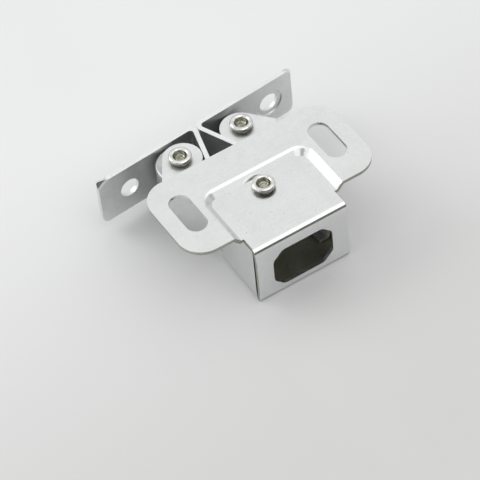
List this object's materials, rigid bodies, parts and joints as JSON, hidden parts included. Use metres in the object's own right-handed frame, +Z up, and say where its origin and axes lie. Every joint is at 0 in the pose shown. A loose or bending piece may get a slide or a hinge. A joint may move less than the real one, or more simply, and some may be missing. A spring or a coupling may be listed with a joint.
{
  "type": "double roller catch",
  "caption": "Cupboard-door catch: a folded steel housing with slotted ears, sprung arms with rollers, and the folded strike that they grip.",
  "frame": {"origin": "on the underside of the housing's base plate, midway along it and on its middle line", "axes": "+X along the ears, +Y from the window towards the strike, +Z up through the ears' outer faces"},
  "size_m": [0.0492, 0.0399, 0.017],
  "materials": {
    "housing_zinc": "bright zinc plate",
    "arm_zinc": "bright zinc plate",
    "strike_zinc": "bright zinc plate",
    "roller_steel": "turned steel",
    "rivet_nickel": "bright nickel",
    "spring_steel": "drawn wire"
  },
  "bodies": {
    "housing_body": {"housing": "housing_zinc", "centre_rivet": "rivet_nickel", "closing_spring": "spring_steel"},
    "left_arm_body": {"left_arm": "arm_zinc", "left_axle": "rivet_nickel"},
    "right_arm_body": {"right_arm": "arm_zinc", "right_axle": "rivet_nickel"},
    "left_roller_body": {"left_roller": "roller_steel"},
    "right_roller_body": {"right_roller": "roller_steel"},
    "strike_body": {"strike": "strike_zinc"}
  },
  "joints": [
    {"name": "strike_pull", "type": "slide", "parent": "housing_body", "child": "strike_body", "axis": [-0.0802, 0.9968, 0], "range_m": [0, 0.0039]},
    {"name": "left_arm_swing", "type": "hinge", "parent": "housing_body", "child": "left_arm_body", "pos_m": [0, 0.0042, 0.0083], "axis": [0, 0, 1], "range_deg": [0, 4.8], "deforming": ["closing_spring"]},
    {"name": "right_arm_swing", "type": "hinge", "parent": "housing_body", "child": "right_arm_body", "pos_m": [0, 0.0042, 0.0072], "axis": [0, 0, 1], "range_deg": [-4.8, 0], "deforming": ["closing_spring"]},
    {"name": "left_roller_spin", "type": "hinge", "parent": "left_arm_body", "child": "left_roller_body", "pos_m": [-0.0096, 0.02157, 0.0083], "axis": [0, 0, 1], "continuous": true},
    {"name": "right_roller_spin", "type": "hinge", "parent": "right_arm_body", "child": "right_roller_body", "pos_m": [0.0067, 0.02288, 0.0072], "axis": [0, 0, 1], "continuous": true}
  ],
  "couplings": [
    {"joint": "left_arm_swing", "follows": "strike_pull", "rad_per_m": 21},
    {"joint": "right_arm_swing", "follows": "strike_pull", "rad_per_m": -21}
  ]
}
